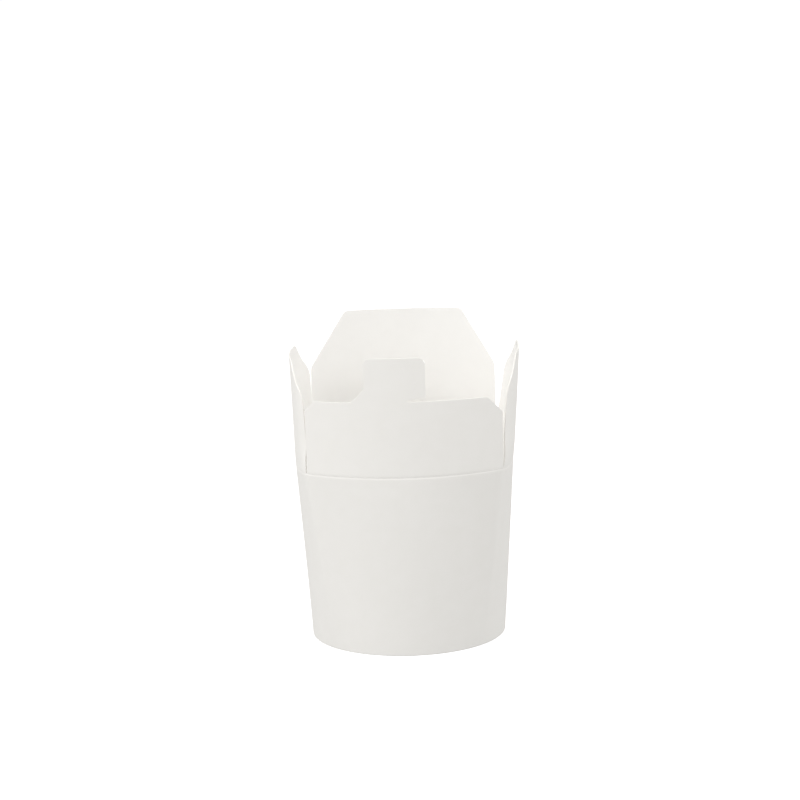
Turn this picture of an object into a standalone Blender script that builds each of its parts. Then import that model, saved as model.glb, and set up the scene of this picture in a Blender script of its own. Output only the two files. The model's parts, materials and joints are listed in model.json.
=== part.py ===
"""Noodle takeaway box: a round-footed pail of folding board with four hinged flaps.

The wall is one sleeve that changes from a circle at the foot to a rounded square at the
crease. A recessed disc closes the foot, and the sleeve folds in around the disc's skirt.
Above the crease the sleeve is slit at its four corners into a front flap with a locking
tongue, a taller back flap with a slot, and two side flaps. The box stands open, on z = 0.
Metres, +Z up, the front faces -Y.
"""

import math

import bmesh
import bpy
from mathutils import Matrix

# Board and fits
BOARD = 0.00045
GAP = 0.0003

# Foot and mouth, measured on the outside of the sleeve
FOOT_RADIUS = 0.0440
CREASE_HEIGHT = 0.0821
MOUTH_HALF = 0.0493
SLIT_X = 0.0435
SLIT_Y = 0.0374
FRONT_DIP = 0.0006
SIDE_DIP = 0.0017
CORNER_SHARPNESS = 60.0

# The folded foot
DISC_HEIGHT = 0.0055
SKIRT_CLEARANCE = 0.0003

# The side flaps' hinge lies lower, so that the front and back flaps fold over them
FRONT_AXIS_RISE = 0.0006
SIDE_AXIS_DROP = 0.0011
SIDE_AXIS_INSET = 0.0003

# Flaps, heights from the crease and half widths from the flap's middle
FRONT_HALF_WIDTH = 0.0429
FRONT_HEIGHT = 0.0321
FRONT_SHOULDER = 0.0255
FRONT_TOP_HALF_WIDTH = 0.0366
FRONT_CORNER_RADIUS = 0.0015
BACK_HALF_WIDTH = 0.0424
BACK_SHIFT = 0.0005
BACK_HEIGHT = 0.0583
BACK_SHOULDER = 0.0330
BACK_TOP_HALF_WIDTH = 0.0272
BACK_TOP_SHIFT = 0.0010
BACK_SHOULDER_RADIUS = 0.0060
BACK_TOP_RADIUS = 0.0030
SIDE_HALF_WIDTH = 0.0362
SIDE_HEIGHT = 0.0489
SIDE_SHOULDER = 0.0355
SIDE_SHOULDER_HALF_WIDTH = 0.0352
SIDE_TOP_HALF_WIDTH = 0.0190
SIDE_SHOULDER_RADIUS = 0.0090
SIDE_TOP_RADIUS = 0.0060

# The locking tongue, left of the front flap's middle, undercut on its right
TONGUE_CENTRE = -0.0035
TONGUE_WIDTH = 0.0258
TONGUE_TOP = 0.0517
TONGUE_FLARE = 0.0060
TONGUE_UNDERCUT = 0.0078
TONGUE_LEFT_RADIUS = 0.0026
TONGUE_RIGHT_RADIUS = 0.0032
TONGUE_ROOT_RADIUS = 0.0030
UNDERCUT_WIDTH = 0.0011
UNDERCUT_RISE = 0.0008
UNDERCUT_END_RADIUS = 0.0003
UNDERCUT_MOUTH_RADIUS = 0.0006

# The slot in the back flap
SLOT_HEIGHT = 0.0322
SLOT_WIDTH = 0.0030
SLOT_LENGTH = 0.0284

# How far the flaps lean out, and how much of their curve they lose with height
WIDE_FLAP_LEAN = 0.084
WIDE_FLAP_FLATTENING = 3.7
SIDE_FLAP_LEAN = 0.099
SIDE_FLAP_FLATTENING = 11.0

# Meshing
WALL_SEGMENTS = 112
WALL_ROWS = 7
BASE_SEGMENTS = 96
FLAP_COLUMNS = 30
FLAP_ROWS = 7
FLAP_MARGIN = 0.0035
CORNER_STEPS = 5
FOOT_STEPS = 12
CUTTER_REACH = 0.03
MERGE_DISTANCE = 0.000001

parts = bpy.data.collections.new("noodle_takeaway_box")
cutters = bpy.data.collections.new("cutters")


def clear_scene():
    for obj in list(bpy.data.objects):
        bpy.data.objects.remove(obj, do_unlink=True)


def board_material(name, colour, roughness):
    """Bleached board: the colour is linear, and nothing on the box is metal."""
    material = bpy.data.materials.new(name)
    material.use_nodes = True
    shader = material.node_tree.nodes["Principled BSDF"]
    shader.inputs["Base Color"].default_value = (*colour, 1.0)
    shader.inputs["Roughness"].default_value = roughness
    shader.inputs["Metallic"].default_value = 0.0
    return material


def add_part(name, mesh, material, collection=None):
    obj = bpy.data.objects.new(name, mesh)
    (collection or parts).objects.link(obj)
    if material is not None:
        mesh.materials.append(material)
    mesh.shade_smooth()
    mesh.set_sharp_from_angle(angle=math.radians(35))
    return obj


def arc_radius(half_chord, sagitta):
    return (half_chord**2 + sagitta**2) / (2.0 * sagitta)


def arc_rise(across, half_chord, sagitta):
    """Height of a shallow arc over its chord, at a distance from the chord's middle."""
    radius = arc_radius(half_chord, sagitta)
    return math.sqrt(radius**2 - across**2) - (radius - sagitta)


def mouth_radius(angle):
    """Distance from the axis to the crease: two pairs of shallow arcs, corners rounded."""
    def panel(toward, radius):
        shift = radius - MOUTH_HALF
        along = shift * toward
        return math.sqrt(radius**2 - shift**2 + along**2) - along

    wide = panel(abs(math.sin(angle)), arc_radius(SLIT_X, MOUTH_HALF - SLIT_Y))
    side = panel(abs(math.cos(angle)), arc_radius(SLIT_Y, MOUTH_HALF - SLIT_X))
    return (wide**-CORNER_SHARPNESS + side**-CORNER_SHARPNESS) ** (-1.0 / CORNER_SHARPNESS)


def wall_radius(angle, height):
    share = height / CREASE_HEIGHT
    return FOOT_RADIUS + (mouth_radius(angle) - FOOT_RADIUS) * share


def crease_sag(across, half_chord, dip):
    """A score that is straight in the flat blank dips a little between the slits."""
    return dip * max(0.0, 1.0 - (across / half_chord) ** 2)


def rim_height(angle):
    """Top of the sleeve, just under the crease; the side panels' score dips more."""
    radius = mouth_radius(angle)
    x, y = radius * math.cos(angle), radius * math.sin(angle)
    if abs(x) * SLIT_Y > abs(y) * SLIT_X:
        return CREASE_HEIGHT - crease_sag(y, SLIT_Y, SIDE_DIP) - GAP / 2
    return CREASE_HEIGHT - crease_sag(x, SLIT_X, FRONT_DIP) - GAP / 2


def wall_profile(angle):
    """Radius and height round the sleeve's section, from the foot up and back down."""
    rim = rim_height(angle)
    outer = [(wall_radius(angle, rim * i / WALL_ROWS), rim * i / WALL_ROWS)
             for i in range(WALL_ROWS + 1)]
    inner = [(radius - BOARD, height) for radius, height in reversed(outer[1:])]
    channel_outer = FOOT_RADIUS - BOARD
    hem_outer = channel_outer - 2 * GAP - BOARD
    hem_top = DISC_HEIGHT - GAP
    return outer + inner + [
        (channel_outer, BOARD),
        (hem_outer, BOARD),
        (hem_outer, hem_top),
        (hem_outer - BOARD, hem_top),
        (hem_outer - BOARD, 0.0),
    ]


def build_wall(material):
    """The sleeve: a loft from the foot's circle to the rounded square at the crease."""
    bm = bmesh.new()
    rings = []
    for segment in range(WALL_SEGMENTS):
        angle = 2.0 * math.pi * (segment + 0.5) / WALL_SEGMENTS
        rings.append([bm.verts.new((r * math.cos(angle), r * math.sin(angle), z))
                      for r, z in wall_profile(angle)])
    for ring, following in zip(rings, rings[1:] + rings[:1]):
        for i in range(len(ring)):
            j = (i + 1) % len(ring)
            bm.faces.new((ring[i], following[i], following[j], ring[j]))
    mesh = bpy.data.meshes.new("wall")
    bm.to_mesh(mesh)
    bm.free()
    return add_part("wall", mesh, material)


def build_base(material):
    """The recessed disc with its skirt turned down into the sleeve's folded foot."""
    radius = FOOT_RADIUS - BOARD - SKIRT_CLEARANCE
    skirt_foot = BOARD + GAP
    profile = [
        (0.0, DISC_HEIGHT + BOARD),
        (radius, DISC_HEIGHT + BOARD),
        (radius, skirt_foot),
        (radius - BOARD, skirt_foot),
        (radius - BOARD, DISC_HEIGHT),
        (0.0, DISC_HEIGHT),
    ]
    mesh = bpy.data.meshes.new("base")
    mesh.from_pydata([(r, 0.0, z) for r, z in profile],
                     [(i, i + 1) for i in range(len(profile) - 1)], [])
    obj = add_part("base", mesh, material)
    screw = obj.modifiers.new("turn", "SCREW")
    screw.steps = screw.render_steps = BASE_SEGMENTS
    screw.use_merge_vertices = True
    screw.merge_threshold = MERGE_DISTANCE
    screw.use_smooth_shade = False
    return obj


def rounded_outline(corners):
    """Points round a closed outline whose corners are given as (x, y, radius)."""
    points = []
    for i, (x, y, radius) in enumerate(corners):
        if radius == 0.0:
            points.append((x, y))
            continue
        before, after = corners[i - 1], corners[(i + 1) % len(corners)]
        to_before = math.atan2(before[1] - y, before[0] - x)
        to_after = math.atan2(after[1] - y, after[0] - x)
        opening = (to_after - to_before + math.pi) % (2 * math.pi) - math.pi
        middle = to_before + opening / 2
        reach = radius / math.sin(abs(opening) / 2)
        centre = (x + reach * math.cos(middle), y + reach * math.sin(middle))
        turn = math.copysign(math.pi - abs(opening), opening)
        start = middle + math.pi + turn / 2
        for step in range(CORNER_STEPS + 1):
            at = start - turn * step / CORNER_STEPS
            points.append((centre[0] + radius * math.cos(at),
                           centre[1] + radius * math.sin(at)))
    return points


def foot_line(half_width, half_chord, dip, crease, shift=0.0):
    """The flap's lower edge, left to right, a fit above the sleeve's rim.

    crease is the height of the score's ends above the hinge.
    """
    line = []
    for step in range(FOOT_STEPS + 1):
        across = half_width * (2.0 * step / FOOT_STEPS - 1.0) + shift
        line.append((across, crease + GAP / 2 - crease_sag(across, half_chord, dip)))
    return line


def prism(name, outline):
    """A cutter: an upright outline run through the flap from front to back."""
    curve = bpy.data.curves.new(name, "CURVE")
    curve.dimensions = "2D"
    curve.fill_mode = "BOTH"
    curve.extrude = CUTTER_REACH
    spline = curve.splines.new("POLY")
    spline.points.add(len(outline) - 1)
    for point, (x, z) in zip(spline.points, outline):
        point.co = (x, z, 0.0, 1.0)
    spline.use_cyclic_u = True
    drawn = bpy.data.objects.new(name + "_outline", curve)
    cutters.objects.link(drawn)
    mesh = bpy.data.meshes.new_from_object(drawn.evaluated_get(bpy.context.evaluated_depsgraph_get()))
    bpy.data.objects.remove(drawn)
    bm = bmesh.new()
    bm.from_mesh(mesh)
    bmesh.ops.remove_doubles(bm, verts=bm.verts, dist=MERGE_DISTANCE)
    bmesh.ops.recalc_face_normals(bm, faces=bm.faces)
    bmesh.ops.transform(bm, matrix=Matrix.Rotation(math.radians(90), 4, "X"), verts=bm.verts)
    bm.to_mesh(mesh)
    bm.free()
    cutter = add_part(name, mesh, None, cutters)
    cutter.hide_render = True
    cutter.display_type = "WIRE"
    return cutter


def build_flap(name, material, turn, chord, axis, shape, outline, slot=None):
    """A curved sheet with its hinge at the origin, cut to its outline.

    chord is the half chord and sagitta of the crease, axis is the hinge's distance out and
    the chord's distance out from the box's axis and the hinge's height, and shape is the
    lean and the flattening. Across is x, outward is -y.
    """
    half_chord, sagitta = chord
    axis_out, chord_out, axis_height = axis
    lean, flattening = shape
    half_width = half_chord * 1.02
    low = -FLAP_MARGIN
    high = max(z for x, z in outline) + FLAP_MARGIN
    bm = bmesh.new()
    bmesh.ops.create_grid(bm, x_segments=FLAP_COLUMNS, y_segments=FLAP_ROWS, size=0.5)
    for vert in bm.verts:
        across = vert.co.x * 2.0 * half_width
        height = low + (vert.co.y + 0.5) * (high - low)
        rise = arc_rise(across, half_chord, sagitta) * (1.0 - flattening * height)
        out = chord_out + rise + lean * height - BOARD / 2
        vert.co = (across, axis_out - out, height)
    bmesh.ops.recalc_face_normals(bm, faces=bm.faces)
    mesh = bpy.data.meshes.new(name)
    bm.to_mesh(mesh)
    bm.free()
    flap = add_part(name, mesh, material)
    solidify = flap.modifiers.new("board", "SOLIDIFY")
    solidify.thickness = BOARD
    solidify.offset = 0.0
    solidify.use_even_offset = True
    shapes = [("INTERSECT", prism(name + "_cut", outline))]
    if slot is not None:
        shapes.append(("DIFFERENCE", prism(name + "_slot", slot)))
    for operation, cutter in shapes:
        boolean = flap.modifiers.new(operation.lower(), "BOOLEAN")
        boolean.operation = operation
        boolean.object = cutter
    placed = Matrix.Rotation(turn, 4, "Z") @ Matrix.Translation((0.0, -axis_out, axis_height))
    for obj in [flap] + [cutter for operation, cutter in shapes]:
        obj.matrix_world = placed
    return flap


def front_outline():
    """The front flap with its tongue: a flare on the left, an undercut on the right."""
    left = TONGUE_CENTRE - TONGUE_WIDTH / 2
    right = TONGUE_CENTRE + TONGUE_WIDTH / 2
    slit_foot = FRONT_HEIGHT + UNDERCUT_WIDTH
    foot = foot_line(FRONT_HALF_WIDTH, SLIT_X, FRONT_DIP, -FRONT_AXIS_RISE)
    corners = [(x, z, 0.0) for x, z in foot] + [
        (FRONT_HALF_WIDTH, FRONT_SHOULDER, FRONT_CORNER_RADIUS),
        (FRONT_TOP_HALF_WIDTH, FRONT_HEIGHT, FRONT_CORNER_RADIUS),
        (right - TONGUE_UNDERCUT, FRONT_HEIGHT, UNDERCUT_END_RADIUS),
        (right - TONGUE_UNDERCUT, slit_foot, UNDERCUT_END_RADIUS),
        (right, slit_foot + UNDERCUT_RISE, UNDERCUT_MOUTH_RADIUS),
        (right, TONGUE_TOP, TONGUE_RIGHT_RADIUS),
        (left, TONGUE_TOP, TONGUE_LEFT_RADIUS),
        (left, FRONT_HEIGHT + TONGUE_FLARE, TONGUE_ROOT_RADIUS),
        (left - TONGUE_FLARE, FRONT_HEIGHT, TONGUE_ROOT_RADIUS),
        (-FRONT_TOP_HALF_WIDTH, FRONT_HEIGHT, FRONT_CORNER_RADIUS),
        (-FRONT_HALF_WIDTH, FRONT_SHOULDER, FRONT_CORNER_RADIUS),
    ]
    return rounded_outline(corners)


def back_outline():
    """The back flap: upright edges, then long slants to a narrower top.

    It is drawn from behind, so a shift to the box's right is a shift to -x here.
    """
    foot = foot_line(BACK_HALF_WIDTH, SLIT_X, FRONT_DIP, -FRONT_AXIS_RISE, -BACK_SHIFT)
    corners = [(x, z, 0.0) for x, z in foot] + [
        (BACK_HALF_WIDTH - BACK_SHIFT, BACK_SHOULDER, BACK_SHOULDER_RADIUS),
        (BACK_TOP_HALF_WIDTH - BACK_TOP_SHIFT, BACK_HEIGHT, BACK_TOP_RADIUS),
        (-BACK_TOP_HALF_WIDTH - BACK_TOP_SHIFT, BACK_HEIGHT, BACK_TOP_RADIUS),
        (-BACK_HALF_WIDTH - BACK_SHIFT, BACK_SHOULDER, BACK_SHOULDER_RADIUS),
    ]
    return rounded_outline(corners)


def slot_outline():
    """A round-ended slot that takes the tongue, opposite the tongue."""
    centre = -TONGUE_CENTRE
    half = SLOT_LENGTH / 2
    low, high = SLOT_HEIGHT - SLOT_WIDTH / 2, SLOT_HEIGHT + SLOT_WIDTH / 2
    radius = SLOT_WIDTH * 0.49
    return rounded_outline([
        (centre - half, low, radius),
        (centre + half, low, radius),
        (centre + half, high, radius),
        (centre - half, high, radius),
    ])


def side_outline():
    """A side flap: nearly upright edges, then rounded shoulders to the top."""
    foot = foot_line(SIDE_HALF_WIDTH, SLIT_Y, SIDE_DIP, SIDE_AXIS_DROP)
    corners = [(x, z, 0.0) for x, z in foot] + [
        (SIDE_SHOULDER_HALF_WIDTH, SIDE_SHOULDER, SIDE_SHOULDER_RADIUS),
        (SIDE_TOP_HALF_WIDTH, SIDE_HEIGHT, SIDE_TOP_RADIUS),
        (-SIDE_TOP_HALF_WIDTH, SIDE_HEIGHT, SIDE_TOP_RADIUS),
        (-SIDE_SHOULDER_HALF_WIDTH, SIDE_SHOULDER, SIDE_SHOULDER_RADIUS),
    ]
    return rounded_outline(corners)


def build_flaps(material):
    wide_chord = (SLIT_X, MOUTH_HALF - SLIT_Y)
    wide_axis = (SLIT_Y, SLIT_Y, CREASE_HEIGHT + FRONT_AXIS_RISE)
    wide_shape = (WIDE_FLAP_LEAN, WIDE_FLAP_FLATTENING)
    side_chord = (SLIT_Y, MOUTH_HALF - SLIT_X)
    side_axis = (SLIT_X - SIDE_AXIS_INSET, SLIT_X, CREASE_HEIGHT - SIDE_AXIS_DROP)
    side_shape = (SIDE_FLAP_LEAN, SIDE_FLAP_FLATTENING)
    build_flap("front_flap", material, 0.0, wide_chord, wide_axis, wide_shape, front_outline())
    build_flap("back_flap", material, math.pi, wide_chord, wide_axis, wide_shape,
               back_outline(), slot_outline())
    build_flap("right_flap", material, math.pi / 2, side_chord, side_axis, side_shape,
               side_outline())
    build_flap("left_flap", material, -math.pi / 2, side_chord, side_axis, side_shape,
               side_outline())


def main():
    clear_scene()
    bpy.context.scene.collection.children.link(parts)
    bpy.context.scene.collection.children.link(cutters)
    outside = board_material("coated_white_board", (0.80, 0.79, 0.76), 0.55)
    lined = board_material("lined_white_board", (0.84, 0.83, 0.79), 0.40)
    build_wall(outside)
    build_base(lined)
    build_flaps(outside)


main()
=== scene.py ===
# %% [markdown]
# # A noodle takeaway box in white board
#
# The box is one sleeve of white food board, round at the foot and nearly square at the mouth,
# with a round base pressed into it and four flaps that stand up from a scored line.
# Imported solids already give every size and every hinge. This lesson dresses them: each solid
# is replaced by a finer sheet of board with rolled, cut and pressed details, and the sheets
# are given the two faces that real board has, a coated outside and a lined inside.

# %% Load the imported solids
import json
import math

import bmesh
import bpy
import numpy as np
from mathutils import Matrix, Vector
from mathutils.geometry import delaunay_2d_cdt


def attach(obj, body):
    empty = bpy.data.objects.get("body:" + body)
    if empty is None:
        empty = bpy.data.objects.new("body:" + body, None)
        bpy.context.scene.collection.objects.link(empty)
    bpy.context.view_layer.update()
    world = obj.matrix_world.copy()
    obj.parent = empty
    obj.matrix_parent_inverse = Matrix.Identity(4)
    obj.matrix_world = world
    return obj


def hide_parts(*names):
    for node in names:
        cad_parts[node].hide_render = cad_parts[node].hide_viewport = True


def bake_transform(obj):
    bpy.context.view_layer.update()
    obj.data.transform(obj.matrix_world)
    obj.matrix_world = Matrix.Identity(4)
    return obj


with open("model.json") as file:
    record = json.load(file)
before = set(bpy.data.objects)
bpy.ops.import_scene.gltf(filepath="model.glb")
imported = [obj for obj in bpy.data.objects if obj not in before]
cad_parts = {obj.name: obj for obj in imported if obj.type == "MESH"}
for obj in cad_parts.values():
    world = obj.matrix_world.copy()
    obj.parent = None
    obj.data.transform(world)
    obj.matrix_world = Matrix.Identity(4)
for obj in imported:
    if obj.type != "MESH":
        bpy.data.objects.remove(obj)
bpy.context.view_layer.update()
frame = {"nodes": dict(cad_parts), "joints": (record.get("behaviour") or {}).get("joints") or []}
print("solids:", sorted(frame["nodes"]))

# %% [markdown]
# ## The sizes
#
# Board of this kind is sold by its caliper, here 0.45 mm. The other sizes are those of the
# solids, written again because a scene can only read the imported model. Everything is in
# metres, with the foot on z = 0, the front towards -Y and the hinges 82 mm up.

# %% Sizes of the sleeve and the flaps
BOARD = 0.00045
FOOT_RADIUS = 0.0440
CREASE_HEIGHT = 0.0821
MOUTH_HALF = 0.0493
SLIT_X, SLIT_Y = 0.0435, 0.0374
FRONT_DIP, SIDE_DIP = 0.0006, 0.0017
CORNER_SHARPNESS = 60.0
DISC_HEIGHT = 0.0055
FIT = 0.0003
HINGE_HEIGHT = {joint["child"]: joint["pos_m"][2] for joint in frame["joints"]}
print("hinge heights:", HINGE_HEIGHT)


def smooth(share):
    """0 below 0 and 1 above 1, with a soft start and end between."""
    share = np.clip(share, 0.0, 1.0)
    return share * share * (3.0 - 2.0 * share)


# %% [markdown]
# ## The curves of the mouth
#
# Seen from above, the mouth is four shallow arcs that meet at the slits. The front and back
# arcs are wide and bulge 12 mm, the side arcs bulge 6 mm. A smooth minimum of the two pairs
# rounds the corners a little, as the board does there. Lower down the sleeve is a straight
# blend from this shape to the foot's circle, which is how a folded cone really runs.

# %% Functions for the mouth and the sleeve
def arc_radius(half_chord, bulge):
    return (half_chord**2 + bulge**2) / (2.0 * bulge)


def arc_rise(across, half_chord, bulge):
    radius = arc_radius(half_chord, bulge)
    return np.sqrt(radius**2 - np.square(across)) - (radius - bulge)


def mouth_radius(angle):
    def panel(toward, radius):
        shift = radius - MOUTH_HALF
        along = shift * toward
        return np.sqrt(radius**2 - shift**2 + along**2) - along

    wide = panel(np.abs(np.sin(angle)), arc_radius(SLIT_X, MOUTH_HALF - SLIT_Y))
    side = panel(np.abs(np.cos(angle)), arc_radius(SLIT_Y, MOUTH_HALF - SLIT_X))
    return (wide**-CORNER_SHARPNESS + side**-CORNER_SHARPNESS) ** (-1.0 / CORNER_SHARPNESS)


def sleeve_radius(angle, height):
    share = height / CREASE_HEIGHT
    return FOOT_RADIUS + (mouth_radius(angle) - FOOT_RADIUS) * share


def crease_height(across, side):
    """The score's height at a distance from the panel's middle: it dips between its slits."""
    half_chord, dip = (SLIT_Y, SIDE_DIP) if side else (SLIT_X, FRONT_DIP)
    return CREASE_HEIGHT - dip * np.clip(1.0 - np.square(across / half_chord), 0.0, 1.0)


def rim_height(angle):
    radius = mouth_radius(angle)
    x, y = radius * np.cos(angle), radius * np.sin(angle)
    on_side = np.abs(x) * SLIT_Y > np.abs(y) * SLIT_X
    return np.where(on_side, crease_height(y, True), crease_height(x, False))


print("mouth, corner to corner:", round(2000 * mouth_radius(math.atan2(SLIT_Y, SLIT_X)), 1), "mm")

# %% [markdown]
# ## The camera
#
# The photograph was taken from a little above the flaps, about a metre away, with a long
# lens. The ellipse of the foot gives the height, the spread of the sides gives the distance,
# and the slope of the crease shows that the box leans by less than two degrees in the
# picture, so the camera is rolled by as much.

# %% The camera at the photograph's view
CAMERA_PLACE = Vector((0.0, -1.0, 0.29034))
PITCH, ROLL, YAW = 0.18170, -0.02841, -0.00131
FOCAL_PIXELS, PICTURE_PIXELS, SENSOR_MM = 2256.0, 800, 36.0


def place_camera():
    ahead = Vector((math.sin(YAW) * math.cos(PITCH), math.cos(YAW) * math.cos(PITCH),
                    -math.sin(PITCH)))
    right = Vector((math.cos(YAW), -math.sin(YAW), 0.0))
    up = right.cross(ahead)
    rolled_right = right * math.cos(ROLL) + up * math.sin(ROLL)
    rolled_up = up * math.cos(ROLL) - right * math.sin(ROLL)
    turn = Matrix((rolled_right, rolled_up, -ahead)).transposed()
    camera = bpy.data.objects.new("camera", bpy.data.cameras.new("camera"))
    camera.data.sensor_width = SENSOR_MM
    camera.data.lens = FOCAL_PIXELS * SENSOR_MM / PICTURE_PIXELS
    camera.matrix_world = Matrix.Translation(CAMERA_PLACE) @ turn.to_4x4()
    bpy.context.scene.collection.objects.link(camera)
    bpy.context.scene.camera = camera
    return camera


camera = place_camera()
print("lens:", round(camera.data.lens, 1), "mm")

# %% [markdown]
# ## Helpers for materials
#
# Colours are picked as sRGB hex, as a colour picker shows them, and one function turns them
# to the linear values that the shader wants. One function adds a node with its settings and
# links, so that a material reads as a short list of nodes. Patterns are placed by the
# attribute "rest_mm", the resting place of each point in millimetres: it stays with the
# board when a flap folds, and it runs on across a crease from one piece to the next.

# %% Colour and node helpers
def linear(hex_colour):
    channels = [int(hex_colour[i:i + 2], 16) / 255.0 for i in (1, 3, 5)]
    return [c / 12.92 if c <= 0.04045 else ((c + 0.055) / 1.055) ** 2.4 for c in channels] + [1.0]


def add(tree, kind, inputs=None, **settings):
    """A node with its settings, and its inputs as values or as other nodes' sockets."""
    made = tree.nodes.new(kind)
    for name, value in settings.items():
        setattr(made, name, value)
    for name, value in (inputs or {}).items():
        if isinstance(value, bpy.types.NodeSocket):
            tree.links.new(value, made.inputs[name])
        else:
            made.inputs[name].default_value = value
    return made


def noise(tree, place, size, detail):
    """Soft random patches of one size, in the unit of the place."""
    made = add(tree, "ShaderNodeTexNoise", {"Vector": place, "Scale": 1.0 / size, "Detail": detail})
    return made.outputs["Fac"]


def spread(tree, pattern, low, high, **ends):
    """A pattern's values stretched to run from low to high."""
    made = add(tree, "ShaderNodeMapRange",
               {"Value": pattern, "To Min": low, "To Max": high, **ends})
    return made.outputs[0]


def tones(tree, pattern, dark, light):
    """A colour between two tones, by a pattern."""
    made = add(tree, "ShaderNodeMix", {"Factor": pattern, "A": linear(dark), "B": linear(light)},
               data_type="RGBA")
    return made.outputs["Result"]


def new_material(name):
    """An empty material with its node tree and the board's resting place in millimetres."""
    material = bpy.data.materials.new(name)
    material.use_nodes = True
    tree = material.node_tree
    tree.nodes.clear()
    rest = add(tree, "ShaderNodeAttribute", attribute_name="rest_mm")
    return material, tree, rest.outputs["Vector"]


# %% [markdown]
# ## Coated white board
#
# The outside of the box is solid bleached board: white all through, with a thin clay coating
# that makes it smooth and nearly matt. Light still shows its formation, the faint clouds
# where the fibres lie thicker, about 6 mm across. Single fibres are 0.03 mm wide, far too
# fine to show, so they are drawn ten times as coarse, as streaks that follow the grain round
# the box. The coating has the usual index of 1.5, and is matt, with a roughness of about 0.7
# and a weak surface reflection. Thin board also lets some light through. It is shown as
# subsurface light that travels a millimetre, twice the board's caliper, with only a small
# share on this side, because the clay throws most of the light back.

# %% Coated white board
CLOUD_MM, STREAK_MM, TOOTH_MM = 6.0, 0.35, 0.5
GRAIN_STRETCH = (0.25, 0.25, 1.0)
CLOUD_MIDDLE = {"From Min": 0.3, "From Max": 0.7}
TRAVEL = {"Subsurface Radius": (1.0, 1.0, 1.0), "Subsurface Scale": 0.001}


def coated_white_board():
    material, tree, place = new_material("coated_white_board")
    clouds = noise(tree, place, CLOUD_MM, 3.0)
    grain = add(tree, "ShaderNodeMapping", {"Vector": place, "Scale": GRAIN_STRETCH})
    streaks = noise(tree, grain.outputs[0], STREAK_MM, 2.0)
    tooth = noise(tree, place, TOOTH_MM, 4.0)
    tone = tones(tree, clouds, "#EDEBE6", "#F0EEEA")
    shade = spread(tree, streaks, 0.985, 1.0)
    colour = add(tree, "ShaderNodeVectorMath", {0: tone, "Scale": shade}, operation="SCALE")
    gloss = spread(tree, clouds, 0.62, 0.72, **CLOUD_MIDDLE)
    height = add(tree, "ShaderNodeMath", {0: tooth, 1: streaks}, operation="ADD")
    bump = add(tree, "ShaderNodeBump",
               {"Height": height.outputs[0], "Strength": 0.35, "Distance": 0.00002})
    shader = add(tree, "ShaderNodeBsdfPrincipled",
                 {"Base Color": colour.outputs[0], "Roughness": gloss, "IOR": 1.5,
                  "Specular IOR Level": 0.3, "Normal": bump.outputs[0],
                  "Subsurface Weight": 0.08, **TRAVEL})
    add(tree, "ShaderNodeOutputMaterial", {"Surface": shader.outputs[0]})
    return material


outside_board = coated_white_board()
print("made", outside_board.name)

# %% [markdown]
# ## Lined white board
#
# The inside carries a film of polyethylene, melted on, so that hot food doesn't soak in. The
# clear film leaves the board's colour as it is and gives it a low, broken sheen, with
# ripples of about 2 mm that follow the fibres below. It is shown as a thin coat over the
# board: polyethylene has an index of 1.51. There is no clay under the film, so light goes
# deeper into the board here, and the subsurface share is large. That keeps the narrow gaps
# beside the flaps pale.

# %% Lined white board
RIPPLE_MM = 2.0


def lined_white_board():
    material, tree, place = new_material("lined_white_board")
    clouds = noise(tree, place, CLOUD_MM, 4.0)
    ripples = noise(tree, place, RIPPLE_MM, 2.0)
    tone = tones(tree, clouds, "#EDEBE7", "#F1EFEB")
    gloss = spread(tree, clouds, 0.42, 0.54, **CLOUD_MIDDLE)
    bump = add(tree, "ShaderNodeBump", {"Height": ripples, "Strength": 0.3, "Distance": 0.00004})
    shader = add(tree, "ShaderNodeBsdfPrincipled",
                 {"Base Color": tone, "Roughness": gloss, "IOR": 1.5,
                  "Coat Weight": 0.25, "Coat Roughness": 0.28, "Coat IOR": 1.51,
                  "Normal": bump.outputs[0], "Coat Normal": bump.outputs[0],
                  "Subsurface Weight": 0.7, **TRAVEL})
    add(tree, "ShaderNodeOutputMaterial", {"Surface": shader.outputs[0]})
    return material


inside_board = lined_white_board()
print("made", inside_board.name)

# %% [markdown]
# ## The cut edge
#
# A steel rule cuts the flaps out of the sheet and leaves a raw, fibrous edge, dull and a
# little yellower than the faces because neither the coating nor the film covers it. Torn
# fibres give it a coarse tooth of about 0.2 mm.

# %% Cut edge of the board
EDGE_TOOTH_MM = 0.2


def cut_board_edge():
    material, tree, place = new_material("cut_board_edge")
    fibres = noise(tree, place, EDGE_TOOTH_MM, 3.0)
    tone = tones(tree, fibres, "#E6E3DC", "#F1EFE9")
    bump = add(tree, "ShaderNodeBump", {"Height": fibres, "Strength": 0.5, "Distance": 0.00004})
    shader = add(tree, "ShaderNodeBsdfPrincipled",
                 {"Base Color": tone, "Roughness": 0.85, "IOR": 1.5, "Normal": bump.outputs[0]})
    add(tree, "ShaderNodeOutputMaterial", {"Surface": shader.outputs[0]})
    return material


edge_board = cut_board_edge()
BOARD_FACES = [outside_board, inside_board, edge_board]
OUTSIDE, INSIDE, EDGE = range(3)
print("made", edge_board.name)

# %% [markdown]
# ## From points to pieces
#
# Every piece is built the same way: points and faces worked out with numpy, a material
# number for each face, and the resting place stored on each point for the materials. Cut
# corners stay crisp, and everything flatter than 30 degrees is shaded smooth.

# %% Build a piece from points
SHARP_DEGREES = 30.0


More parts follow.
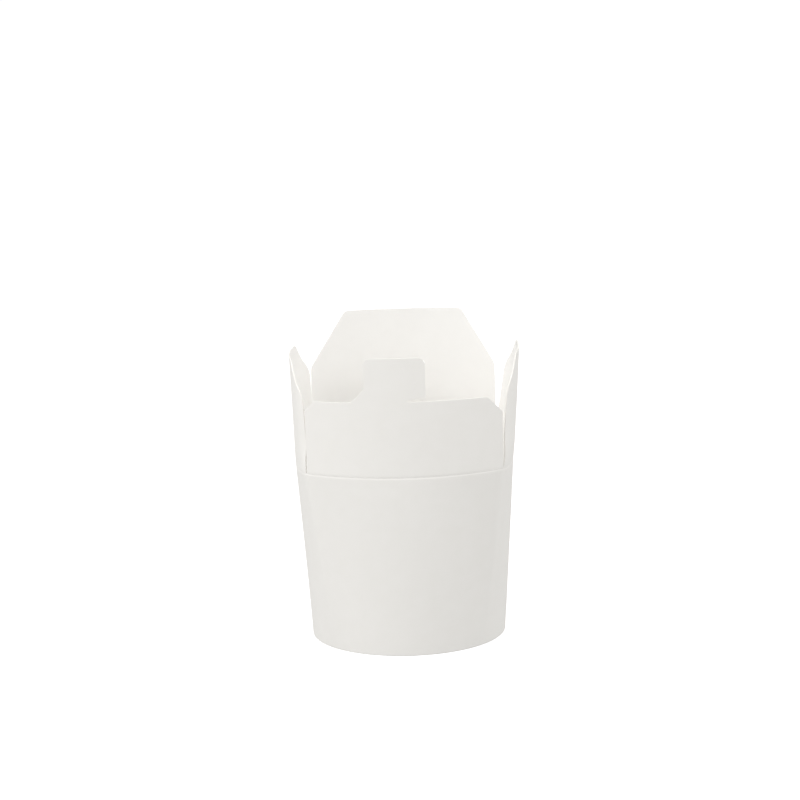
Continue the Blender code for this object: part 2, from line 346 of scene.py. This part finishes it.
def build_piece(name, points, faces, face_materials):
    mesh = bpy.data.meshes.new(name)
    mesh.from_pydata(points.tolist(), [], faces)
    for material in BOARD_FACES:
        mesh.materials.append(material)
    mesh.polygons.foreach_set("material_index", face_materials)
    bm = bmesh.new()
    bm.from_mesh(mesh)
    bmesh.ops.recalc_face_normals(bm, faces=bm.faces)
    bm.to_mesh(mesh)
    bm.free()
    rest = mesh.attributes.new("rest_mm", "FLOAT_VECTOR", "POINT")
    rest.data.foreach_set("vector", (points * 1000.0).astype(np.float32).ravel())
    mesh.shade_smooth()
    mesh.set_sharp_from_angle(angle=math.radians(SHARP_DEGREES))
    piece = bpy.data.objects.new(name, mesh)
    bpy.context.scene.collection.objects.link(piece)
    print(name, len(points), "points")
    return piece


def rings_to_faces(columns, rows, row_materials):
    """Quads round a closed ring of columns whose section is closed too."""
    faces, materials = [], []
    for column in range(columns):
        beside = (column + 1) % columns
        for row in range(rows):
            above = (row + 1) % rows
            faces.append((column * rows + row, beside * rows + row,
                          beside * rows + above, column * rows + above))
            materials.append(row_materials[row])
    return faces, materials


# %% [markdown]
# ## The scored line
#
# Before folding, a blunt rule presses a line into the board. The board gives way in a groove
# 0.14 mm deep. Its steeper upper wall turns away from the light, and its lower wall catches
# it: a thin dark line over a pale one, as in the photograph. The inside has the opposite, a
# soft ridge. The groove is relief in the mesh, so that it shows from any side.

# %% Relief of a scored line
GROOVE_DEPTH, GROOVE_DROP = 0.00014, 0.00020
UPPER_WALL, LOWER_WALL = 0.00040, 0.00050
RIDGE_SHARE = 0.6


def score_relief(above):
    """How far the outer face stands out, by its distance above the scored line."""
    from_groove = above + GROOVE_DROP
    reach = np.where(from_groove > 0.0, UPPER_WALL, LOWER_WALL)
    return -GROOVE_DEPTH * np.exp(-np.square(from_groove / reach))


# %% [markdown]
# ## The glued seam
#
# The sleeve is a fan-shaped sheet whose ends overlap at the back left corner: the left side
# panel ends in a 10 mm tab that is glued under the edge of the back panel. Outside, the edge
# of the upper layer is a step one board high. Inside, the edge of the tab is another, 10 mm
# further on. Both fade out just below the crease, where the tab stops.

# %% Relief of the glued seam
SEAM_ANGLE = math.pi - math.atan2(SLIT_Y, SLIT_X)
TAB_ANGLE = 0.010 / FOOT_RADIUS
RELAX_ANGLE = 0.012 / FOOT_RADIUS
STEP_ANGLE = 0.0004
TAB_TOP_GAP, TAB_FADE = 0.0020, 0.0040
SLEEVE_COLUMNS = 480


def seam_relief(angle, height):
    """Extra distance out of the outer face and of the inner face of the sleeve."""
    past_edge = SEAM_ANGLE - angle
    lift = np.where(past_edge > 0.0, 1.0 - smooth((past_edge - TAB_ANGLE) / RELAX_ANGLE), 0.0)
    lift = lift * BOARD * smooth((rim_height(angle) - TAB_TOP_GAP - height) / TAB_FADE)
    return lift, np.where(past_edge > TAB_ANGLE, lift, 0.0)


def sleeve_angles():
    """Even columns, with close pairs where the score or the surface takes a step."""
    corner = math.atan2(SLIT_Y, SLIT_X)
    steps = [corner, math.pi - corner, math.pi + corner, 2.0 * math.pi - corner,
             SEAM_ANGLE - TAB_ANGLE]
    pairs = np.array([s + side * STEP_ANGLE for s in steps for side in (-1.0, 1.0)])
    even = (np.arange(SLEEVE_COLUMNS) + 0.5) * 2.0 * math.pi / SLEEVE_COLUMNS
    clear = np.min(np.abs(even[:, None] - pairs[None, :]), axis=1) > 3.0 * STEP_ANGLE
    return np.sort(np.concatenate([even[clear], pairs]))


# %% [markdown]
# ## The sleeve
#
# The sleeve is lofted: the same section is drawn at each angle round the box, and the rings
# are joined. The section goes up the outside, over the rim, down the inside and round the
# folded foot, where the sheet turns in under the base's skirt and up again. There it is
# pressed by a toothed wheel, so the inner face of the fold has fine upright ridges. Paper
# is never quite true, so a slow wave of a tenth of a millimetre runs over the wall.

# %% Section of the sleeve
FOOT_ROLL = 0.00030
NEAR_RIM = [0.0, 0.00008, 0.00016, 0.00024, 0.00034, 0.00044, 0.00055, 0.00066, 0.00077,
            0.00088, 0.00100, 0.00115, 0.00135, 0.00165, 0.0022, 0.0030, 0.0042]
NEAR_FOOT = [FOOT_ROLL, FOOT_ROLL + 0.00010, FOOT_ROLL + 0.00030]
WALL_ROWS = 26
RIDGES, RIDGE_HEIGHT = 120, 0.00012
WAVE, WAVE_FADE = 0.00010, 0.15


def wall_wave(angle, height):
    """A slow wave that fades out at the foot and at the score."""
    up = height / CREASE_HEIGHT
    slow = np.sin(3.0 * angle + 1.0) * np.sin(2.2 * up + 0.4) + 0.6 * np.sin(5.0 * angle + 4.0 * up)
    return WAVE * slow * smooth(up / WAVE_FADE) * smooth((1.0 - up) / WAVE_FADE)


def wall_heights(angle):
    """Heights up the wall, closer together near the foot's roll and the scored rim."""
    rim = rim_height(angle)
    start, top = NEAR_FOOT[-1], rim - NEAR_RIM[-1]
    low = [start + (top - start) * row / WALL_ROWS for row in range(1, WALL_ROWS + 1)]
    return np.array(NEAR_FOOT + low + [rim - drop for drop in reversed(NEAR_RIM[:-1])])


def wall_section(angle):
    """Radius, height and material round the section at one angle."""
    heights = wall_heights(angle)
    lift_out, lift_in = seam_relief(angle, heights)
    true = sleeve_radius(angle, heights) + wall_wave(angle, heights)
    relief = score_relief(heights - heights[-1])
    outer = np.column_stack([true + lift_out + relief, heights])
    inner = np.column_stack([true + lift_in - BOARD + RIDGE_SHARE * relief, heights])[::-1]
    channel, tuck = FOOT_RADIUS - BOARD, FOOT_RADIUS - 2.0 * BOARD - 2.0 * FIT
    ridge = RIDGE_HEIGHT * (0.5 + 0.5 * math.cos(RIDGES * angle))
    fold_top = DISC_HEIGHT - FIT
    hem = [(channel, BOARD), (tuck, BOARD), (tuck, fold_top), (tuck - BOARD, fold_top)]
    ridged = [(tuck - BOARD - ridge * share, fold_top * at)
              for share, at in ((0.3, 0.93), (1.0, 0.84), (1.0, 0.55), (1.0, 0.25), (0.4, 0.14))]
    turns = [math.radians(degrees) for degrees in (0, 30, 60, 90)]
    inner_roll = [(tuck - BOARD + FOOT_ROLL * (1.0 - math.cos(t)), FOOT_ROLL * (1.0 - math.sin(t)))
                  for t in turns]
    outer_roll = [(FOOT_RADIUS - FOOT_ROLL * (1.0 - math.sin(t)), FOOT_ROLL * (1.0 - math.cos(t)))
                  for t in turns[:-1]]
    section = np.vstack([outer, inner, hem, ridged, inner_roll, outer_roll])
    lined = len(inner) + len(hem) - 1
    plain = len(section) - len(outer) - lined - 1
    materials = ([OUTSIDE] * (len(outer) - 1) + [EDGE] + [INSIDE] * lined + [EDGE]
                 + [OUTSIDE] * plain)
    return section, materials


# %% Loft the sleeve
def build_sleeve():
    angles = sleeve_angles()
    sections = [wall_section(angle) for angle in angles]
    rows, materials = len(sections[0][0]), sections[0][1]
    points = np.array([(r * math.cos(a), r * math.sin(a), z)
                       for a, (section, _) in zip(angles, sections) for r, z in section])
    faces, face_materials = rings_to_faces(len(angles), rows, materials)
    return build_piece("sleeve", points, faces, face_materials)


sleeve = build_sleeve()
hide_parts("wall")
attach(sleeve, "box")

# %% [markdown]
# ## The base
#
# The base is a round blank pressed over a die: a flat disc, a rounded shoulder and a skirt
# that stands in the folded foot. The press leaves a shallow ring near the edge of the disc.
# Its lined side faces the food. It is turned like the sleeve, from a section that starts and
# ends at the middle.

# %% Turn the base
SHOULDER = 0.0008
PRESS_RING, PRESS_REACH, PRESS_DEPTH = 0.0375, 0.0012, 0.00025
HUB, PLAIN_DISC, RING_START = 0.0004, 0.0345, 0.0350
BASE_COLUMNS = 240


def build_base():
    outer = FOOT_RADIUS - BOARD - FIT
    top, turns = DISC_HEIGHT + BOARD, [math.radians(d) for d in range(0, 91, 15)]
    flat = [*np.linspace(HUB, PLAIN_DISC, 24), *np.linspace(RING_START, outer - SHOULDER, 30)]
    pressed = [(r, top - PRESS_DEPTH * math.exp(-((r - PRESS_RING) / PRESS_REACH)**2))
               for r in flat]
    over = [(outer - SHOULDER + SHOULDER * math.sin(t), top - SHOULDER * (1.0 - math.cos(t)))
            for t in turns[1:]]
    foot = BOARD + FIT
    thin = SHOULDER - BOARD
    under = [(outer - SHOULDER + thin * math.sin(t), top - SHOULDER + thin * math.cos(t))
             for t in reversed(turns)]
    below = [(r, z - BOARD) for r, z in reversed(pressed[:-1])]
    section = pressed + over + [(outer, foot), (outer - BOARD, foot)] + under + below
    lined = len(pressed) + len(over)
    materials = [INSIDE] * lined + [EDGE] + [OUTSIDE] * (len(section) - lined - 1)
    count, rows = BASE_COLUMNS, len(section)
    points = np.array([(r * math.cos(a), r * math.sin(a), z)
                       for a in np.arange(count) * 2.0 * math.pi / count for r, z in section])
    faces, face_materials = rings_to_faces(count, rows, materials)
    kept = [i for i in range(len(faces)) if i % rows != rows - 1]
    faces = [faces[i] for i in kept] + [[c * rows for c in range(count)],
                                        [(c + 1) * rows - 1 for c in range(count)]]
    face_materials = [face_materials[i] for i in kept] + [INSIDE, OUTSIDE]
    return build_piece("base_disc", points, faces, face_materials)


base_disc = build_base()
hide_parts("base")
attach(base_disc, "box")

# %% [markdown]
# ## How a flap is drawn
#
# A flap is drawn flat, as the cutting rule sees it, and then bent. Its outline is a list of
# corners with a radius each. Points along the outline and a grid of points inside it are
# joined into even triangles by a constrained Delaunay function, which keeps to any outline
# and leaves out the slot. A grid that is cut with a Boolean would leave long thin faces
# along every edge.

# %% Round the corners of an outline
CORNER_STEPS, EDGE_SPACING = 8, 0.0012


def rounded_outline(corners):
    """Points round a closed outline whose corners are given as (x, y, radius)."""
    points = []
    for i, (x, y, radius) in enumerate(corners):
        if radius == 0.0:
            points.append((x, y))
            continue
        before, after = corners[i - 1], corners[(i + 1) % len(corners)]
        to_before = math.atan2(before[1] - y, before[0] - x)
        to_after = math.atan2(after[1] - y, after[0] - x)
        opening = (to_after - to_before + math.pi) % (2 * math.pi) - math.pi
        middle = to_before + opening / 2
        reach = radius / math.sin(abs(opening) / 2)
        centre = (x + reach * math.cos(middle), y + reach * math.sin(middle))
        turn = math.copysign(math.pi - abs(opening), opening)
        for step in range(CORNER_STEPS + 1):
            at = middle + math.pi + turn / 2 - turn * step / CORNER_STEPS
            points.append((centre[0] + radius * math.cos(at), centre[1] + radius * math.sin(at)))
    return np.array(points)


def evenly(outline):
    """The same outline with points on its long stretches too."""
    points = []
    for here, there in zip(outline, np.roll(outline, -1, axis=0)):
        pieces = max(1, math.ceil(np.linalg.norm(there - here) / EDGE_SPACING))
        points += [here + (there - here) * k / pieces for k in range(pieces)]
    return np.array(points)


def moved_in(loop, distance):
    """The loop moved inwards, for an outline that runs anticlockwise."""
    before, after = loop - np.roll(loop, 1, axis=0), np.roll(loop, -1, axis=0) - loop
    before /= np.linalg.norm(before, axis=1)[:, None]
    after /= np.linalg.norm(after, axis=1)[:, None]
    normal = np.column_stack([-(before + after)[:, 1], (before + after)[:, 0]])
    normal /= np.linalg.norm(normal, axis=1)[:, None]
    lean = np.maximum(0.5, normal[:, 0] * -after[:, 1] + normal[:, 1] * after[:, 0])
    return loop + normal * (distance / lean)[:, None]


def within(points, loop):
    """Which points lie inside a closed loop."""
    x, y = points[:, 0][:, None], points[:, 1][:, None]
    x0, y0 = loop[:, 0], loop[:, 1]
    x1, y1 = np.roll(x0, -1), np.roll(y0, -1)
    crosses = (y0 > y) != (y1 > y)
    with np.errstate(divide="ignore", invalid="ignore"):
        at = x0 + (y - y0) * (x1 - x0) / (y1 - y0)
    return (crosses & (x < at)).sum(axis=1) % 2 == 1


# %% [markdown]
# The foot of the drawing is the scored line, and heights are counted from it, so rows of
# points run along the score and can be packed close where it is pressed in.

# %% Fill a flat drawing with triangles
GRID = 0.0015
SCORE_ROWS = [0.00010, 0.00020, 0.00032, 0.00046, 0.00062, 0.0008, 0.0012, 0.0018, 0.0027]
CLEAR, GRID_START, FOOT_BAND = 0.0006, 0.0040, 0.0008


def fill(outline, holes):
    """Points and triangles inside the outline and outside the holes."""
    loops = [outline] + holes
    half = np.abs(outline[:, 0]).max()
    columns = np.arange(-half, half, GRID)
    rows = SCORE_ROWS + list(np.arange(GRID_START, outline[:, 1].max(), GRID))
    inside = np.array([(x, y) for y in rows for x in columns])
    keep = within(inside, outline)
    for hole in holes:
        keep &= ~within(inside, hole)
    inside = inside[keep]
    edge = np.vstack([outline[outline[:, 1] > FOOT_BAND]] + holes)
    gap = np.min(np.linalg.norm(inside[:, None, :] - edge[None, :, :], axis=2), axis=1)
    inside = inside[(gap > CLEAR) & (half - np.abs(inside[:, 0]) > CLEAR)]
    drawn, edges, start = np.vstack(loops + [inside]), [], 0
    for loop in loops:
        count = len(loop)
        edges += [(start + k, start + (k + 1) % count) for k in range(count)]
        start += count
    placed, _, triangles, *_ = delaunay_2d_cdt([Vector(p) for p in drawn], edges, [], 0, 1e-7)
    placed = np.array([tuple(p) for p in placed])
    assert len(placed) == len(drawn) and np.allclose(placed, drawn, atol=1e-6)
    middles = placed[np.array(triangles)].mean(axis=1)
    keep = within(middles, outline)
    for hole in holes:
        keep &= ~within(middles, hole)
    return drawn, [t for t, kept in zip(triangles, keep) if kept]


# %% [markdown]
# ## How a flap is bent
#
# At the score a flap has the same curve as the sleeve below it. Higher up it leans out and
# slowly loses its curve, because nothing holds the free end. The formula is the solids' own,
# with the sleeve's true rim at the foot, so the two sheets meet without a step. Each flap
# then gets a small character of its own, because four flaps of a hand-folded box never
# stand quite alike: a slow wave for all, and for the side flaps also a lean and a curl, a
# twist, a bow and side edges that are tucked in.

# %% The curved surface of a flap
WIDE = {"side": False, "half_chord": SLIT_X, "chord_out": SLIT_Y,
        "bulge": MOUTH_HALF - SLIT_Y, "lean": 0.084, "flattening": 3.7,
        "late_flattening": 0.0, "twist": 0.0, "bow": 0.0, "tuck": 0.0}
SIDE = {"side": True, "half_chord": SLIT_Y, "chord_out": SLIT_X,
        "bulge": MOUTH_HALF - SLIT_X, "flattening": 0.0}
JOIN_HEIGHT, TWIST_START, WAVE_START, BOW_START = 0.008, 0.02, 0.03, 0.01
WAVES_PER_METRE, TUCK_REACH, TUCK_START = 90.0, 0.010, 0.014
PANEL_SWING = np.radians(np.linspace(-49.0, 49.0, 981))


def rim_out(across, panel):
    """How far out the sleeve's rim is, by the distance across the panel."""
    angle = PANEL_SWING + (0.0 if panel["side"] else math.pi / 2)
    x = mouth_radius(angle) * np.sin(PANEL_SWING)
    radius = sleeve_radius(angle, crease_height(x, panel["side"]))
    x, out = radius * np.sin(PANEL_SWING), radius * np.cos(PANEL_SWING)
    rising = np.concatenate([[True], np.diff(x) > 0.0])
    return np.interp(across, x[rising], out[rising])


def flap_out(across, above, panel, hinge):
    """Distance out of the outer face, by the height above the score."""
    def true_out(height):
        rise = arc_rise(across, panel["half_chord"], panel["bulge"])
        kept = 1.0 - panel["flattening"] * height - panel["late_flattening"] * height**2
        return panel["chord_out"] + rise * kept + panel["lean"] * height

    score = crease_height(across, panel["side"]) - hinge
    join = (1.0 - smooth(above / JOIN_HEIGHT)) * (true_out(score) - rim_out(across, panel))
    free = above * smooth(above / TWIST_START)
    twist = panel["twist"] * across / panel["half_chord"] * free
    wave = panel["wave"] * np.sin(across * WAVES_PER_METRE + panel["phase"])
    wave = wave * smooth(above / WAVE_START)
    bow = panel["bow"] * np.square(np.maximum(0.0, above - BOW_START))
    margin = np.clip((np.abs(across) - panel["half_chord"] + TUCK_REACH) / TUCK_REACH, 0.0, 1.0)
    tuck = panel["tuck"] * np.square(margin) * smooth(above / TUCK_START)
    return true_out(score + above) - join + twist + wave + bow - tuck


# %% [markdown]
# ## From a drawing to a sheet of board
#
# The bent face is doubled: the outer skin, and the inner skin one board's thickness behind
# it along the surface's own normal. A narrow chamfer and a raw side wall join the two all
# round, so the cut looks crisp and still catches a little light. The pressed lines, the
# score at the foot and a short one where the tongue hinges, move both skins.

# %% Bend and thicken a flap
CUT_ROUNDING = 0.00005
HAIR = 0.00002


def bend(drawing, panel, hinge, turn, depth):
    """The drawing's points on the curved face, moved in by a depth along its normal."""
    across, above = drawing[:, 0], drawing[:, 1]
    out = flap_out(across, above, panel, hinge)
    sideways = (flap_out(across + HAIR, above, panel, hinge) - out) / HAIR
    upward = (flap_out(across, above + HAIR, panel, hinge) - out) / HAIR
    normal = np.column_stack([-sideways, np.ones_like(out), -upward])
    normal /= np.linalg.norm(normal, axis=1)[:, None]
    height = crease_height(across, panel["side"]) + above
    placed = np.column_stack([across, out, height]) - normal * np.asarray(depth)[:, None]
    c, s = math.cos(turn), math.sin(turn)
    x, y = placed[:, 0], -placed[:, 1]
    return np.column_stack([c * x - s * y, s * x + c * y, placed[:, 2]])


def build_flap(name, outline, holes, panel, hinge, turn, lines):
    cut = [evenly(outline)] + [evenly(hole)[::-1] for hole in holes]
    inset = [moved_in(loop, CUT_ROUNDING) for loop in cut]
    drawn, triangles = fill(inset[0], inset[1:])
    edge = np.vstack(cut)
    pressed = score_relief(drawn[:, 1])
    for line in lines:
        pressed = pressed + line(drawn)
    count, rim = len(drawn), len(edge)
    points = np.vstack([
        bend(drawn, panel, hinge, turn, -pressed),
        bend(drawn, panel, hinge, turn, BOARD - RIDGE_SHARE * pressed),
        bend(edge, panel, hinge, turn, np.full(rim, CUT_ROUNDING)),
        bend(edge, panel, hinge, turn, np.full(rim, BOARD - CUT_ROUNDING)),
    ])
    faces = [tuple(t) for t in triangles]
    faces += [tuple(count + i for i in reversed(t)) for t in triangles]
    materials = [OUTSIDE] * len(triangles) + [INSIDE] * len(triangles)
    start = 0
    for loop in cut:
        for k in range(len(loop)):
            a, b = start + k, start + (k + 1) % len(loop)
            top, low = 2 * count, 2 * count + rim
            faces += [(a, top + a, top + b, b), (top + a, low + a, low + b, top + b),
                      (low + a, count + a, count + b, low + b)]
            materials += [OUTSIDE, EDGE, INSIDE]
        start += len(loop)
    return build_piece(name, points, faces, materials)


# %% [markdown]
# ## The front flap and its tongue
#
# The front flap is low, with clipped corners. From its top edge rises the tongue that locks
# the lid, left of the middle: its root flares on the left, and a narrow cut from the right
# undercuts it, so that it hooks in the back flap's slot. In the photograph the right corner
# is clipped by more than the left one, and the sheet follows that.

# %% Draw the front flap
FRONT_HALF, FRONT_MIDDLE, FRONT_HEIGHT = 0.0429, 0.0002, 0.0321
LEFT_CLIP, RIGHT_CLIP = (0.0042, 0.0044), (0.0066, 0.0070)
TONGUE_LEFT, TONGUE_RIGHT, TONGUE_TOP = -0.0165, 0.0097, 0.0513
TONGUE_FLARE, UNDERCUT, UNDERCUT_WIDTH = 0.0060, 0.0078, 0.0011
ROOT_RISE, ROOT_REACH, ROOT_DEPTH = 0.0012, 0.0005, 0.00005
ROOT_OVERRUN, ROOT_FADE = 0.004, 0.003


def above_score(outline, panel, hinge):
    """Heights above the hinge turned into heights above the score."""
    lifted = outline.copy()
    lifted[:, 1] += hinge - crease_height(outline[:, 0], panel["side"])
    return lifted


def foot_points(half_width, middle, panel, hinge):
    across = np.linspace(middle - half_width, middle + half_width, 60)
    return [(x, crease_height(x, panel["side"]) - hinge, 0.0) for x in across]


def front_drawing():
    hinge = HINGE_HEIGHT["front"]
    cut_foot = FRONT_HEIGHT + UNDERCUT_WIDTH
    left, right = FRONT_MIDDLE - FRONT_HALF, FRONT_MIDDLE + FRONT_HALF
    corners = foot_points(FRONT_HALF, FRONT_MIDDLE, WIDE, hinge) + [
        (right, FRONT_HEIGHT - RIGHT_CLIP[1], 0.0025),
        (right - RIGHT_CLIP[0], FRONT_HEIGHT, 0.0025),
        (TONGUE_RIGHT - UNDERCUT, FRONT_HEIGHT, 0.0003),
        (TONGUE_RIGHT - UNDERCUT, cut_foot, 0.0003),
        (TONGUE_RIGHT, cut_foot + 0.0008, 0.0006),
        (TONGUE_RIGHT, TONGUE_TOP, 0.0032),
        (TONGUE_LEFT, TONGUE_TOP, 0.0026),
        (TONGUE_LEFT, FRONT_HEIGHT + TONGUE_FLARE, 0.0030),
        (TONGUE_LEFT - TONGUE_FLARE, FRONT_HEIGHT, 0.0030),
        (left + LEFT_CLIP[0], FRONT_HEIGHT, 0.0015),
        (left, FRONT_HEIGHT - LEFT_CLIP[1], 0.0015),
    ]
    return above_score(evenly(rounded_outline(corners)), WIDE, hinge)


def tongue_score(drawn):
    """A light score across the tongue's root, so that it bends as it goes into the slot."""
    across, above = drawn[:, 0], drawn[:, 1]
    at = np.exp(-np.square((above - FRONT_HEIGHT - ROOT_RISE) / ROOT_REACH))
    on_tongue = smooth((across - TONGUE_LEFT + ROOT_OVERRUN) / ROOT_FADE)
    on_tongue = on_tongue * smooth((TONGUE_RIGHT - UNDERCUT - across) / ROOT_FADE)
    return -ROOT_DEPTH * at * on_tongue


FRONT_CHARACTER = {**WIDE, "wave": 0.00008, "phase": 0.7}
front_sheet = build_flap("front_flap_sheet", front_drawing(), [], FRONT_CHARACTER,
                         HINGE_HEIGHT["front"], 0.0, [tongue_score])
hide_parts("front_flap")

# %% [markdown]
# ## The back flap and its slot
#
# The back flap is the tall one. Its sides go straight up and then slant to a narrower top.
# The slot that takes the tongue lies behind the tongue in the photograph, so its place is
# worked out from where the two flaps cross when the lid is closed.

# %% Draw the back flap
BACK_HALF, BACK_MIDDLE = 0.0430, -0.0003
BACK_SHOULDER, BACK_HEIGHT = 0.0330, 0.0583
BACK_TOP_HALF, BACK_TOP_MIDDLE = 0.0272, -0.0010
SLOT_HEIGHT, SLOT_WIDTH, SLOT_LENGTH, SLOT_MIDDLE = 0.0322, 0.0030, 0.0284, 0.0035


def back_drawing():
    hinge = HINGE_HEIGHT["back"]
    corners = foot_points(BACK_HALF, BACK_MIDDLE, WIDE, hinge) + [
        (BACK_MIDDLE + BACK_HALF, BACK_SHOULDER, 0.0060),
        (BACK_TOP_MIDDLE + BACK_TOP_HALF, BACK_HEIGHT, 0.0030),
        (BACK_TOP_MIDDLE - BACK_TOP_HALF, BACK_HEIGHT, 0.0030),
        (BACK_MIDDLE - BACK_HALF, BACK_SHOULDER, 0.0060),
    ]
    low, high = SLOT_HEIGHT - SLOT_WIDTH / 2, SLOT_HEIGHT + SLOT_WIDTH / 2
    left, right = SLOT_MIDDLE - SLOT_LENGTH / 2, SLOT_MIDDLE + SLOT_LENGTH / 2
    end = SLOT_WIDTH * 0.49
    slot = rounded_outline([(x, y, end) for x, y in ((left, low), (right, low),
                                                     (right, high), (left, high))])
    return (above_score(evenly(rounded_outline(corners)), WIDE, hinge),
            above_score(evenly(slot), WIDE, hinge))


BACK_CHARACTER = {**WIDE, "wave": 0.00010, "phase": 2.1}
back_outline, slot_hole = back_drawing()
back_sheet = build_flap("back_flap_sheet", back_outline, [slot_hole], BACK_CHARACTER,
                        HINGE_HEIGHT["back"], math.pi, [])
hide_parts("back_flap")

# %% [markdown]
# ## The side flaps
#
# The two side flaps are cut alike: nearly upright edges, then rounded shoulders. In the
# photograph they are seen almost edge on. The right one leans out and is twisted a little,
# the left one stands straighter and keeps its curl nearly to the top.

# %% Draw the side flaps
SIDE_HALF, SIDE_SHOULDER_HALF, SIDE_TOP_HALF = 0.0366, 0.0356, 0.0194
SIDE_SHOULDER, SIDE_HEIGHT = 0.0355, 0.0489


def side_drawing():
    hinge = HINGE_HEIGHT["right"]
    corners = foot_points(SIDE_HALF, 0.0, SIDE, hinge) + [
        (SIDE_SHOULDER_HALF, SIDE_SHOULDER, 0.0090),
        (SIDE_TOP_HALF, SIDE_HEIGHT, 0.0060),
        (-SIDE_TOP_HALF, SIDE_HEIGHT, 0.0060),
        (-SIDE_SHOULDER_HALF, SIDE_SHOULDER, 0.0090),
    ]
    return above_score(evenly(rounded_outline(corners)), SIDE, hinge)


RIGHT_CHARACTER = {**SIDE, "lean": 0.0972, "late_flattening": 109.0, "twist": 0.0433, "bow": 0.176,
                   "tuck": 0.0010, "wave": 0.00006, "phase": 0.3}
LEFT_CHARACTER = {**SIDE, "lean": 0.0183, "late_flattening": 26.0, "twist": 0.0079, "bow": 0.407,
                  "tuck": 0.0018, "wave": 0.00006, "phase": 1.9}
right_sheet = build_flap("right_flap_sheet", side_drawing(), [], RIGHT_CHARACTER,
                         HINGE_HEIGHT["right"], math.pi / 2, [])
left_sheet = build_flap("left_flap_sheet", side_drawing(), [], LEFT_CHARACTER,
                        HINGE_HEIGHT["left"], -math.pi / 2, [])
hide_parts("right_flap")
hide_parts("left_flap")

# %% [markdown]
# ## Where each flap would bend
#
# On the real box a flap and the sleeve are one sheet that bends along the score. Here they
# are two pieces. Each flap's placement is baked into its points, and the 2.6 mm of board
# just above the score where it would bend is printed.

# %% Bake each flap in place and print where it would bend
WIDE_BEND, SIDE_BEND, BEND_LENGTH = 0.0822, 0.0816, 0.0026
for sheet, body, start in ((front_sheet, "front", WIDE_BEND), (back_sheet, "back", WIDE_BEND),
                           (left_sheet, "left", SIDE_BEND), (right_sheet, "right", SIDE_BEND)):
    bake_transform(sheet)
    print(sheet.name, "bends between", round(1000 * start, 1), "and",
          round(1000 * (start + BEND_LENGTH), 1), "mm")

# %% [markdown]
# ## The studio
#
# The box stands on a plain white floor that runs on to the horizon and melts into a white
# room. In the photograph the floor is bleached out while the board is not, which one floor
# can't give: light that white, thrown up from close by, would wash out the board's own
# shading. So there are two sheets, told apart by ray visibility. The lens sees a white
# one, and the light that the board gathers sees a duller one just below it. That one glows
# more than it reflects, as a floor lit from all round does: the box throws no shadow on it
# that would darken its own foot.

# %% Floors
FLOOR_RADIUS, FLOOR_PATCH_M = 400.0, 0.3


def floor_sheet(name, dark, light, height, glow):
    material = bpy.data.materials.new("matt_" + name)
    material.use_nodes = True
    tree = material.node_tree
    tree.nodes.clear()
    place = add(tree, "ShaderNodeTexCoord")
    patches = noise(tree, place.outputs["Object"], FLOOR_PATCH_M, 2.0)
    tone = tones(tree, patches, dark, light)
    shader = add(tree, "ShaderNodeBsdfPrincipled",
                 {"Base Color": tone, "Roughness": 0.9, "Specular IOR Level": 0.0,
                  "Emission Color": linear("#FFFFFF"), "Emission Strength": glow})
    add(tree, "ShaderNodeOutputMaterial", {"Surface": shader.outputs[0]})
    mesh = bpy.data.meshes.new(name)
    bm = bmesh.new()
    bmesh.ops.create_circle(bm, cap_ends=True, segments=96, radius=FLOOR_RADIUS)
    bm.to_mesh(mesh)
    bm.free()
    mesh.materials.append(material)
    sheet = bpy.data.objects.new(name, mesh)
    sheet.location.z = height
    bpy.context.scene.collection.objects.link(sheet)
    return sheet


floor = floor_sheet("white_floor", "#F9F9F9", "#FBFBFB", 0.0, 0.3)
floor.visible_diffuse = floor.visible_glossy = floor.visible_shadow = False
under_floor = floor_sheet("grey_card", "#404040", "#424242", -0.0002, 0.44)
under_floor.visible_camera = False
print("floors:", 2 * FLOOR_RADIUS, "m across")

# %% [markdown]
# ## Surround and lamps
#
# The surround is an evenly white room. Three metre-wide soft boxes stand at the left, in
# front and at the right, and the left one is the strongest. Together they give the left of
# the box its light and leave the right third flat and a little darker, as in the photograph.

# %% White room
ROOM_STRENGTH = 0.79
room = bpy.data.worlds.new("white_room")
bpy.context.scene.world = room
room.use_nodes = True
room.node_tree.nodes["Background"].inputs["Color"].default_value = linear("#FFFFFF")
room.node_tree.nodes["Background"].inputs["Strength"].default_value = ROOM_STRENGTH
print("room strength:", ROOM_STRENGTH)

# %% Soft boxes
LAMPS = [
    ("left_soft_box", -60.0, 35.0, 11.7),
    ("front_soft_box", 0.0, 35.0, 3.3),
    ("right_soft_box", 80.0, 35.0, 7.9),
]
LAMP_DISTANCE, LAMP_SIZE, AIM_HEIGHT = 1.6, 1.0, 0.07


def add_lamp(name, azimuth, elevation, power):
    """A soft square lamp aimed at the box; azimuth 0 is in front and 90 to the right."""
    a, e = math.radians(azimuth), math.radians(elevation)
    aim = Vector((0.0, 0.0, AIM_HEIGHT))
    toward = Vector((math.sin(a) * math.cos(e), -math.cos(a) * math.cos(e), math.sin(e)))
    light = bpy.data.lights.new(name, "AREA")
    light.size, light.energy = LAMP_SIZE, power
    lamp = bpy.data.objects.new(name, light)
    lamp.location = aim + toward * LAMP_DISTANCE
    lamp.rotation_euler = toward.to_track_quat("Z", "Y").to_euler()
    bpy.context.scene.collection.objects.link(lamp)
    return lamp


for lamp in LAMPS:
    add_lamp(*lamp)
bpy.context.scene.view_settings.view_transform = "Standard"
print("lamps:", [lamp[0] for lamp in LAMPS])
